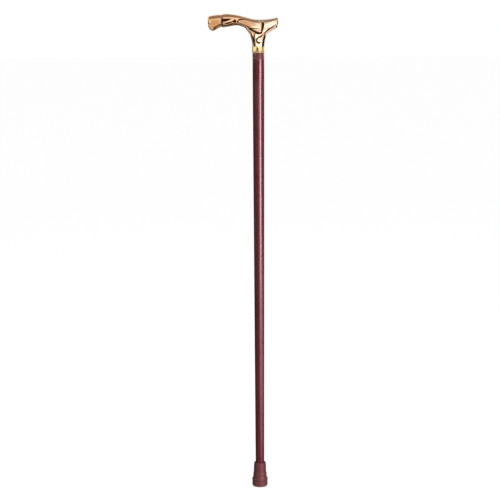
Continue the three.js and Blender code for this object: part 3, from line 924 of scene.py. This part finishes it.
@dataclass
class Handle:
    """The cast handle and its cap, drawn out in sections and carved.

    A row of the arm or the cap is x, top, bottom and half width, and one of the neck is height, back,
    front and half thickness. Heights are over the neck's seat.
    """

    seat_z: float
    gilt: Material
    # the cap's gilt is a warmer copy of the plating that carries a painted warm reflection
    cap_gilt: Material
    relief: Relief = LEAF_AND_SCROLL
    draw_step: float = 2.0
    grid: float = 0.42
    blend_rounds: int = 14
    carved_softness: float = 0.35
    carved_rounds: int = 2
    cap_grid: float = 0.5
    cap_rounds: int = 10
    cap_joint_x: float = -69.8
    cap_gap: float = 0.1
    spigot_radius: float = 5.5
    spigot_length: float = 9.0
    spigot_rise: float = 46.5
    spigot_sides: int = 64
    stud_hole: float = 4.15
    stud_depth: float = 20.0
    hole_room: float = 0.3
    crisp_past: float = 50.0
    neck_start: float = -2.0
    arm: tuple[Row, ...] = (
        (-69.8, 57.7, 37.4, 10.0), (-68.4, 59.2, 36.1, 10.9), (-62.0, 60.2, 35.9, 11.2),
        (-54.0, 60.2, 37.3, 10.9), (-45.0, 59.0, 38.8, 10.3), (-37.5, 57.7, 39.0, 10.0),
        (-30.0, 56.0, 36.9, 10.5), (-22.0, 54.0, 33.0, 11.7), (-12.0, 51.3, 28.8, 12.8),
        (0.0, 49.9, 26.5, 13.3), (10.0, 50.0, 26.0, 12.5), (20.0, 50.7, 27.2, 10.8),
        (26.0, 51.4, 29.2, 9.2), (31.0, 52.3, 31.6, 7.8), (35.0, 53.4, 35.0, 6.0),
        (37.1, 52.5, 39.4, 4.0),
    )
    cap: tuple[Row, ...] = (
        (-94.1, 51.2, 44.0, 3.4), (-93.9, 53.2, 41.0, 5.8), (-93.2, 55.1, 36.8, 8.6),
        (-91.2, 56.2, 32.8, 10.7), (-88.2, 57.0, 30.0, 11.6), (-84.8, 57.6, 29.2, 12.0),
        (-80.8, 58.2, 30.6, 12.3), (-76.0, 58.8, 33.4, 12.7), (-72.4, 59.1, 35.2, 12.9),
        (-69.9, 58.9, 36.2, 12.9), (-67.9, 58.8, 36.6, 12.9),
    )
    neck: tuple[Row, ...] = (
        (0.0, -11.1, 11.1, 11.1), (5.0, -11.4, 11.4, 11.1), (10.0, -12.2, 12.1, 11.2),
        (16.0, -13.7, 13.5, 11.7), (20.0, -15.2, 15.2, 12.1), (24.0, -17.2, 18.6, 12.5),
        (28.0, -19.8, 24.4, 12.6), (32.0, -22.6, 28.0, 11.8), (36.0, -25.0, 26.0, 9.6),
        (38.4, -26.4, 22.0, 7.0),
    )

    def _draw(self, name: str, lie: Lie, rows: Sequence[Row]) -> Piece:
        """Draw a body out through its rows.

        Args:
            name: the object's name.
            lie: the way that it runs.
            rows: its rows, in order.

        Returns:
            The new object.
        """
        sections = []
        for place in places_along(rows, self.draw_step):
            _, one_side, other_side, half_y = row_at(rows, place)
            run, middle = place * MM, (one_side + other_side) / 2 * MM
            half_y, half = half_y * MM, abs(one_side - other_side) / 2 * MM
            if lie is Lie.ALONG_X:
                sections.append(Section((run, 0.0, self.seat_z + middle), (1.0, half_y, half)))
            else:
                sections.append(Section((middle, 0.0, self.seat_z + run), (half, half_y, 1.0)))
        return DrawnBody(lie).draw(name, sections)

    def build_casting(self) -> Piece:
        """Model the arm, prow and neck as one casting.

        Returns:
            The casting, carved on both sides.
        """
        arm = self._draw("arm", Lie.ALONG_X, self.arm)
        start = (self.neck_start, *self.neck[0][1:])
        casting = self._draw("handle", Lie.UP_Z, (start, *self.neck))
        arm.select_set(True)
        bpy.ops.object.join()
        melt(casting, self.grid, self.blend_rounds)
        self.relief.cut(casting, self.seat_z)
        finish_with(casting, "SMOOTH", factor=self.carved_softness, iterations=self.carved_rounds)
        seat = (0.0, 0.0, self.seat_z)
        face_off(casting, seat, (0.0, 0.0, -1.0))
        work_rod(casting, "DIFFERENCE", self.stud_hole, 2 * self.stud_depth, seat, Lie.UP_Z)
        radius = self.spigot_radius + self.hole_room
        length = 2 * (self.spigot_length + self.hole_room)
        work_rod(casting, "DIFFERENCE", radius, length, self._spigot_start(), Lie.ALONG_X)
        smooth_shade(casting, self.crisp_past)
        return casting

    def _spigot_start(self) -> Row:
        """The middle of the joint between arm and cap, in metres."""
        return (self.cap_joint_x * MM, 0.0, self.seat_z + self.spigot_rise * MM)

    def build_cap(self) -> Piece:
        """Model the smooth knob with the spigot that holds it in the arm.

        Returns:
            The cap.
        """
        knob = self._draw("handle_knob", Lie.ALONG_X, self.cap)
        melt(knob, self.cap_grid, self.cap_rounds)
        face_off(knob, ((self.cap_joint_x - self.cap_gap) * MM, 0.0, 0.0), (1.0, 0.0, 0.0))
        length, start = 2 * self.spigot_length, self._spigot_start()
        work_rod(knob, "UNION", self.spigot_radius, length, start, Lie.ALONG_X, self.spigot_sides)
        smooth_shade(knob, self.crisp_past)
        return knob

    def build(self) -> None:
        """Make both pieces and put them in their nodes' places."""
        settle(self.build_casting(), "cane", "handle_casting", self.gilt)
        settle(self.build_cap(), "cane", "handle_cap", self.cap_gilt)


@dataclass
class Stick:
    """The collar and the shaft below the handle, both turned."""

    shoulder_z: float
    seat_z: float
    foot_z: float
    brass: Material
    lacquer: Material
    seat_gap: float = 0.1
    washer: float = 0.8
    top_radius: float = 11.1
    foot_radius: float = 8.3
    foot_round: float = 0.8
    shoulder_round: float = 0.5
    tenon_radius: float = 8.5
    tenon_room: float = 0.3
    tenon_edge: float = 0.5
    bore_radius: float = 5.6
    bore_depth: float = 26.0
    bore_tip: float = 2.0
    collar_stands: float = 0.9
    collar_edge: float = 0.5
    flange_height: float = 2.4
    flange_stands: float = 0.4
    groove: float = 0.7
    groove_lip: float = 0.07
    rings: int = 24

    def radius_at(self, z: float) -> float:
        """The shaft's radius at a height over the ground."""
        up = (z - self.foot_z / MM) / ((self.shoulder_z - self.foot_z) / MM)
        return self.foot_radius + (self.top_radius - self.foot_radius) * up

    def build_collar(self) -> Piece:
        """Turn the collar: a beaded flange at the foot, a groove and a plain barrel.

        Returns:
            The collar.
        """
        low = self.seat_gap
        high = (self.seat_z - self.shoulder_z) / MM - self.seat_gap
        barrel = self.top_radius + self.collar_stands
        flange = barrel + self.flange_stands
        bore = self.tenon_radius + self.tenon_room
        half = self.flange_height / 2
        flange_top = low + self.flange_height
        barrel_low = flange_top + self.groove
        edge = self.collar_edge
        outline = [(bore, low), (flange - half, low)]
        outline += arc((flange - half, low + half), half, -90, 90, 12)[1:]
        outline += [(barrel - self.groove, flange_top + self.groove_lip)]
        outline += arc((barrel - self.groove / 2, barrel_low), self.groove / 2, 180, 90, 4)
        outline += [(barrel - edge / 2, barrel_low), (barrel, barrel_low + edge / 2)]
        outline += [(barrel, barrel_low + edge), (barrel, high - 2 * edge)]
        outline += arc((barrel - edge, high - edge), edge, 0, 90, 5)
        outline += [(bore, high)]
        return Turning().spin("collar_ring", outline, self.shoulder_z, closed=True)

    def build_shaft(self) -> Piece:
        """Turn the shaft: a straight taper, a tenon on top and the blind bore for the insert.

        Returns:
            The shaft.
        """
        foot, edge = self.foot_radius - self.foot_round, self.shoulder_round
        length = (self.shoulder_z - self.foot_z) / MM
        taper = self.top_radius - self.foot_radius
        tenon_top = (self.seat_z - self.foot_z) / MM - 2 * self.seat_gap - self.washer
        bore_end = tenon_top - self.bore_depth
        outline = [(0.0, 0.0), (foot, 0.0)]
        outline += arc((foot, self.foot_round), self.foot_round, -90, 0)[1:]
        for k in range(1, self.rings):
            outline.append((self.foot_radius + taper * k / self.rings, length * k / self.rings))
        outline += arc((self.top_radius - edge, length - edge), edge, 0, 90, 4)
        outline += [(self.tenon_radius, length), (self.tenon_radius, tenon_top - self.tenon_edge)]
        outline += [(self.tenon_radius - self.tenon_edge, tenon_top), (self.bore_radius, tenon_top)]
        outline += [(self.bore_radius, bore_end), (0.0, bore_end - self.bore_tip)]
        return Turning().spin("lacquered_shaft", outline, self.foot_z)

    def build(self) -> None:
        """Make both pieces and put them in their nodes' places."""
        settle(self.build_collar(), "cane", "collar", self.brass)
        settle(self.build_shaft(), "cane", "shaft", self.lacquer)


@dataclass
class Ferrule:
    """The rubber foot: tread, beaded skirt and sleeve round the shaft."""

    stick: Stick
    rubber: Material
    room: float = 0.3
    height: float = 47.5
    floor: float = 10.0
    foot_radius: float = 14.9
    foot_height: float = 11.2
    foot_lip: float = 0.4
    groove: float = 1.1
    draft: float = 0.05
    bead_stands: float = 0.45
    bead_height: float = 4.2
    skirt_height: float = 9.8
    skirt_top_radius: float = 12.95
    skirt_flare: float = 1.8
    step: float = 0.65
    step_height: float = 1.8
    step_round: float = 0.45
    step_middle: tuple[float, float] = (0.1, 0.5)
    sleeve_rise: float = 1.0
    mouth_radius: float = 11.5
    mouth_edge: float = 0.8
    lead_width: float = 1.4
    lead_depth: float = 3.0
    ground_edge: float = 2.6
    tread_radii: tuple[float, ...] = (3.8, 7.0, 10.2)
    tread_width: float = 1.6
    tread_depth: float = 1.4
    tread_slope: float = 0.15
    rings: int = 12
    sleeve_rings: int = 6
    crisp_past: float = 35.0

    def _tread(self) -> Outline:
        """Draw the underside, from its middle out: flat ground with round grooves.

        Returns:
            That part of the outline.
        """
        made: Outline = [(0.0, 0.0)]
        wide = self.tread_width / 2
        deep = wide - self.tread_slope
        for radius in self.tread_radii:
            made += [(radius - wide, 0.0), (radius - deep, self.tread_depth)]
            made += [(radius + deep, self.tread_depth), (radius + wide, 0.0)]
        return made

    def _foot(self) -> Outline:
        """Draw the outside up to the bead: a rounded ground edge, the foot and the groove over it.

        Returns:
            That part of the outline.
        """
        edge, lip = self.ground_edge, self.foot_lip
        waist = self.foot_radius - self.groove
        made = arc((self.foot_radius - edge, edge), edge, -90, 0, 12)
        made += arc((self.foot_radius - lip, self.foot_height - self.groove - lip), lip, 0, 70, 3)
        made += [(waist, self.foot_height - self.draft), (waist, self.foot_height + self.groove)]
        return made

    def _side(self) -> Outline:
        """Draw the outside from the bead up to the mouth.

        Returns:
            That part of the outline.
        """
        low = self.foot_height + self.groove
        made: Outline = []
        for k in range(1, self.rings):
            share = k / self.rings
            bow = math.sin(math.pi * share)
            radius = self.foot_radius - self.groove * (1 - bow) ** 3 + self.bead_stands * bow
            made.append((radius, low + self.bead_height * share))
        low += self.bead_height
        flare = self.foot_radius - self.groove - self.skirt_top_radius
        for k in range(self.rings + 1):
            share = k / self.rings
            radius = self.skirt_top_radius + flare * (1 - share) ** self.skirt_flare
            made.append((radius, low + self.skirt_height * share))
        low += self.skirt_height
        sleeve = self.skirt_top_radius - self.step
        out, up = self.step_middle
        made += arc((sleeve + out, low + up), self.step_round, 40, 90, 3)
        low += self.step_height
        made += [(sleeve + self.draft, low), (sleeve - self.draft, low + self.sleeve_rise)]
        low += self.sleeve_rise
        sleeve -= self.draft
        rim = self.height - self.mouth_edge
        for k in range(1, self.sleeve_rings):
            share = k / self.sleeve_rings
            made.append((sleeve + (self.mouth_radius - sleeve) * share, low + (rim - low) * share))
        made += arc((self.mouth_radius - self.mouth_edge, rim), self.mouth_edge, 0, 90, 8)
        return made

    def _socket(self) -> Outline:
        """Draw the inside, from the mouth down to the floor under the disc.

        Returns:
            That part of the outline.
        """
        lead_end = self.height - self.lead_depth
        foot = self.stick.foot_z / MM
        throat = self.stick.radius_at(lead_end) + self.room
        seat = self.stick.radius_at(foot) + self.room
        made = [(throat + self.lead_width, self.height), (throat, lead_end), (seat, foot)]
        return made + [(seat, self.floor), (0.0, self.floor)]

    def build(self) -> None:
        """Mould the ferrule and put it in its node's place."""
        outline = self._tread() + self._foot() + self._side() + self._socket()
        piece = Turning(crisp_past=self.crisp_past).spin("rubber_ferrule", outline, 0.0)
        settle(piece, "ferrule", "ferrule", self.rubber)


@dataclass
class Hardware:
    """The hidden hardware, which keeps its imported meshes."""

    finishes: dict[str, Material]

    def build(self) -> None:
        """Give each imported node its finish."""
        for node, finish in self.finishes.items():
            for slot in bpy.data.objects[node].material_slots:
                slot.material = finish
            LOG.info("%s: packed mesh with %s", node, finish.name)


# The studio, in metres


def turn_to(place: Row, aim: Row, axis: str) -> Euler:
    """The rotation at a place that points an object's axis at an aim."""
    return (Vector(aim) - Vector(place)).to_track_quat(axis, "Y").to_euler()


@dataclass(frozen=True)
class Softbox:
    """One rectangular lamp, out of the camera's sight."""

    name: str
    place: Row
    aim: Row
    width: float
    height: float
    power: float
    reflected: bool = True

    def build(self) -> None:
        """Hang the lamp."""
        lamp = bpy.data.lights.new(self.name, "AREA")
        lamp.shape = "RECTANGLE"
        lamp.size = self.width
        lamp.size_y = self.height
        lamp.energy = self.power
        holder = bpy.data.objects.new(self.name, lamp)
        bpy.context.scene.collection.objects.link(holder)
        holder.location = self.place
        holder.rotation_euler = turn_to(self.place, self.aim, "-Z")
        holder.visible_camera = False
        holder.visible_glossy = self.reflected


@dataclass(frozen=True)
class Board:
    """A flat board that only polished surfaces see: it shapes their reflections, and lights nothing.

    A tone of 1 is white.
    """

    name: str
    tone: float
    middle: Row
    faces: Row
    width: float
    height: float
    tint: Colour = WHITE

    @classmethod
    def round_cane(
        cls, reach: float, low: float, high: float, *rows: tuple[str, float, float, float]
    ) -> tuple["Board", ...]:
        """Boards that stand on a ring round the cane.

        Args:
            reach: how far they stand from the cane.
            low: their lower edge.
            high: their upper edge.
            rows: each one's name, its tone, and where it starts and ends, in degrees from the camera's
                side, more to the right.

        Returns:
            The boards.
        """
        level = (low + high) / 2
        made = []
        for name, tone, start, end in rows:
            turn = math.radians((start + end) / 2)
            width = 2 * reach * math.tan(math.radians(end - start) / 2)
            middle = (reach * math.sin(turn), -reach * math.cos(turn), level)
            made.append(cls(name, tone, middle, (0.0, 0.0, level), width, high - low))
        return tuple(made)

    @classmethod
    def lying(
        cls, name: str, tone: float, across: Row, along: Row, height: float, tint: Colour = WHITE
    ) -> "Board":
        """A board that lies level and faces up.

        Args:
            name: its name.
            tone: its tone.
            across: where it starts and ends along X.
            along: where it starts and ends along Y.
            height: its height.
            tint: its tint.

        Returns:
            The board.
        """
        middle = (sum(across) / 2, sum(along) / 2, height)
        above = (middle[0], middle[1], height + 1.0)
        return cls(name, tone, middle, above, across[1] - across[0], along[1] - along[0], tint)

    def build(self) -> None:
        """Set the board up."""
        start_fresh()
        bpy.ops.mesh.primitive_plane_add(size=1.0)
        board = bpy.context.object
        board.name = self.name
        board.scale = (self.width, self.height, 1.0)
        board.location = self.middle
        board.rotation_euler = turn_to(self.middle, self.faces, "Z")
        tree = Tree(bpy.data.materials.new(self.name))
        glow = tree.add("ShaderNodeEmission")
        tree.put(glow, Color=self.tint, Strength=self.tone)
        tree.put_out(glow.outputs["Emission"])
        board.data.materials.append(tree.owner)
        board.visible_camera = False
        board.visible_diffuse = False
        board.visible_transmission = False
        board.visible_shadow = False


@dataclass(frozen=True)
class Studio:
    """The plain pale floor, the white surround, the lamps, the boards and the camera."""

    camera_place: Row = (-0.01743, -2.7330, 0.9104)
    pitch_down: float = 9.19
    roll: float = -0.282
    focal_pixels: float = 1447.6
    picture_pixels: float = 500.0
    floor_size: float = 60.0
    floor_colour: Colour = (0.65, 0.65, 0.65)
    floor_lift: float = 0.79
    surround: float = 0.3
    softboxes: tuple[Softbox, ...] = (
        Softbox("key_high", (1.127, -2.119, 1.58), (0.0, 0.0, 0.9), 2.15, 1.6, 14.8, False),
        Softbox("key_low", (1.26, -1.68, 0.475), (0.0, 0.0, 0.475), 0.88, 0.89, 22.5),
    )
    boards: tuple[Board, ...] = (
        *Board.round_cane(
            0.05, 0.8365, 0.8525,
            ("collar_left", 1.0, -100, -32), ("collar_stripe", 0.0, -32, -5),
            ("collar_middle", 0.75, -5, 12), ("collar_glow", 0.95, 12, 54),
            ("collar_right", 0.45, 54, 104), ("collar_back_right", 1.3, 104, 150),
        ),
        *Board.round_cane(
            0.07, 0.79, 0.835,
            ("shaft_top_left", 0.03, -100, -40), ("shaft_top_front", 0.03, -40, 22),
            ("shaft_top_stripe", 8.0, 25, 49), ("shaft_top_right", 0.03, 52, 118),
        ),
        *Board.round_cane(0.06, 0.8535, 0.873, ("neck_front", 2.3, -25, 14)),
        *Board.round_cane(0.1, 0.853, 0.88, ("neck_glow", 1.5, 16, 54)),
        *Board.round_cane(0.16, 0.857, 0.915, ("leaf_glow", 2.4, 16, 60)),
        *Board.round_cane(3.0, 0.855, 2.5, ("middle", 1.0, -7, 6.5)),
        *Board.round_cane(3.0, 0.765, 0.855, ("middle_low", 2.4, -7, 6.5)),
        *Board.round_cane(
            3.0, 0.765, 2.5,
            ("high_back_left", 0.5, -180, -86), ("high_left", 1.0, -86, -22),
            ("high_middle", 0.65, -22, -7), ("high_right", 0.35, 54, 98),
            ("high_back_right", 0.8, 98, 180),
        ),
        *Board.round_cane(
            3.0, 0.0, 0.765,
            ("low_back_left", 0.05, -180, -90), ("low_left", 0.03, -90, -2),
            ("low_right", 0.05, 56, 118), ("low_back_right", 0.05, 118, 180),
        ),
        Board.lying("overhead", 0.3, (-1.6, 1.6), (-1.4, 1.4), 2.4),
        Board.lying("under_handle", 0.7, (-0.40, 0.35), (-0.22, 0.45), 0.835),
        Board.lying("under_cap", 0.7, (-0.40, -0.05), (-0.36, -0.22), 0.835, (1.0, 0.74, 0.5)),
        Board.lying("arm_shade", 0.12, (-0.078, -0.018), (-0.06, 0.06), 0.84, SHADE),
        Board.lying("neck_shade", 0.12, (-0.24, -0.012), (0.02, 0.3), 0.838, SHADE),
        Board.lying("before_arm", 0.6, (-0.7, -0.03), (-2.4, -0.26), 0.848),
        Board.lying("before_cap", 1.0, (-1.6, -0.7), (-2.4, -0.26), 0.848, (1.0, 0.8, 0.6)),
        Board.lying("before_neck", 1.6, (-0.05, 0.80), (-1.0, -0.22), 0.81),
        # dark boards just over the floor, which cast nothing: painted dark reflections on the shaft and the
        # foot
        Board.lying("cloth_front", 0.03, (-3.2, 0.1), (-3.2, -0.1), 0.004),
        Board.lying("cloth_back", 0.05, (-3.2, 3.2), (-0.1, 3.2), 0.004),
    )

    def _floor(self) -> None:
        """Lay the floor, lifted to the surround's white where it is seen, so that only the shadow shows."""
        start_fresh()
        bpy.ops.mesh.primitive_plane_add(size=self.floor_size)
        floor = bpy.context.object
        floor.name = "studio_floor"
        tree = Tree(bpy.data.materials.new("studio_floor"))
        matt = tree.add("ShaderNodeBsdfDiffuse")
        tree.put(matt, Color=self.floor_colour)
        lift = tree.add("ShaderNodeEmission")
        strength = tree.reckon("MULTIPLY", tree.seen_directly(), self.floor_lift)
        tree.join(strength, lift.inputs["Strength"])
        both = tree.add("ShaderNodeAddShader")
        tree.join(matt.outputs["BSDF"], both.inputs[0])
        tree.join(lift.outputs["Emission"], both.inputs[1])
        tree.put_out(both.outputs["Shader"])
        floor.data.materials.append(tree.owner)

    def _world(self) -> None:
        """Light the room evenly, and show it white to the camera, off metal and through glass."""
        world = bpy.data.worlds.new("studio")
        bpy.context.scene.world = world
        tree = Tree(world)
        background = tree.add("ShaderNodeBackground")
        tree.put(background, Color=WHITE)
        strength = tree.spread(tree.seen_directly(), (0.0, self.surround), (1.0, 1.0))
        tree.join(strength, background.inputs["Strength"])
        tree.put_out(background.outputs["Background"], "ShaderNodeOutputWorld")

    def _camera(self) -> None:
        """Set the camera where the photograph was taken from."""
        lens = bpy.data.cameras.new("camera")
        lens.sensor_width = 36.0
        lens.lens = lens.sensor_width * self.focal_pixels / self.picture_pixels
        camera = bpy.data.objects.new("camera", lens)
        bpy.context.scene.collection.objects.link(camera)
        camera.location = self.camera_place
        tilt = Matrix.Rotation(math.radians(90 - self.pitch_down), 4, "X")
        camera.rotation_euler = (tilt @ Matrix.Rotation(math.radians(self.roll), 4, "Z")).to_euler()
        bpy.context.scene.camera = camera

    def build(self) -> None:
        """Set the studio up."""
        self._floor()
        self._world()
        for fitting in (*self.softboxes, *self.boards):
            fitting.build()
        self._camera()
        bpy.context.scene.view_settings.view_transform = "Standard"


def main() -> None:
    """Build the cane and its studio."""
    logging.basicConfig(level=logging.INFO, format="%(name)s %(message)s")
    seat_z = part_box("handle_casting")[0].z
    foot_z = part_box("shaft")[0].z
    shoulder_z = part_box("collar")[0].z - Stick.seat_gap * MM
    gilt = Gilt().build()
    # the cap gets a warmer, more orange copy of the same gilt: a painted warm reflection on the knob
    cap_gilt = Gilt("cap_gilt", (0.97, 0.54, 0.26), (0.95, 0.47, 0.20)).build()
    brass = TurnedMetal("collar_brass", (0.92, 0.70, 0.34), (0.80, 0.56, 0.24), 0.10, 0.20).build()
    insert_brass = TurnedMetal("insert_brass", (0.74, 0.56, 0.26), (0.60, 0.44, 0.20), 0.28, 0.38).build()
    steel = TurnedMetal("zinc_steel", (0.56, 0.57, 0.58), (0.42, 0.42, 0.43), 0.32, 0.42).build()
    Handle(seat_z, gilt, cap_gilt).build()
    stick = Stick(shoulder_z, seat_z, foot_z, brass, Lacquer().build())
    stick.build()
    Ferrule(stick, FootRubber().build()).build()
    hidden = {"threaded_stud": steel, "shaft_insert": insert_brass, "ferrule_disc": steel}
    Hardware(hidden | {"seat_washer": PlainNylon().build()}).build()
    Studio().build()


if __name__ == "__main__":
    main()
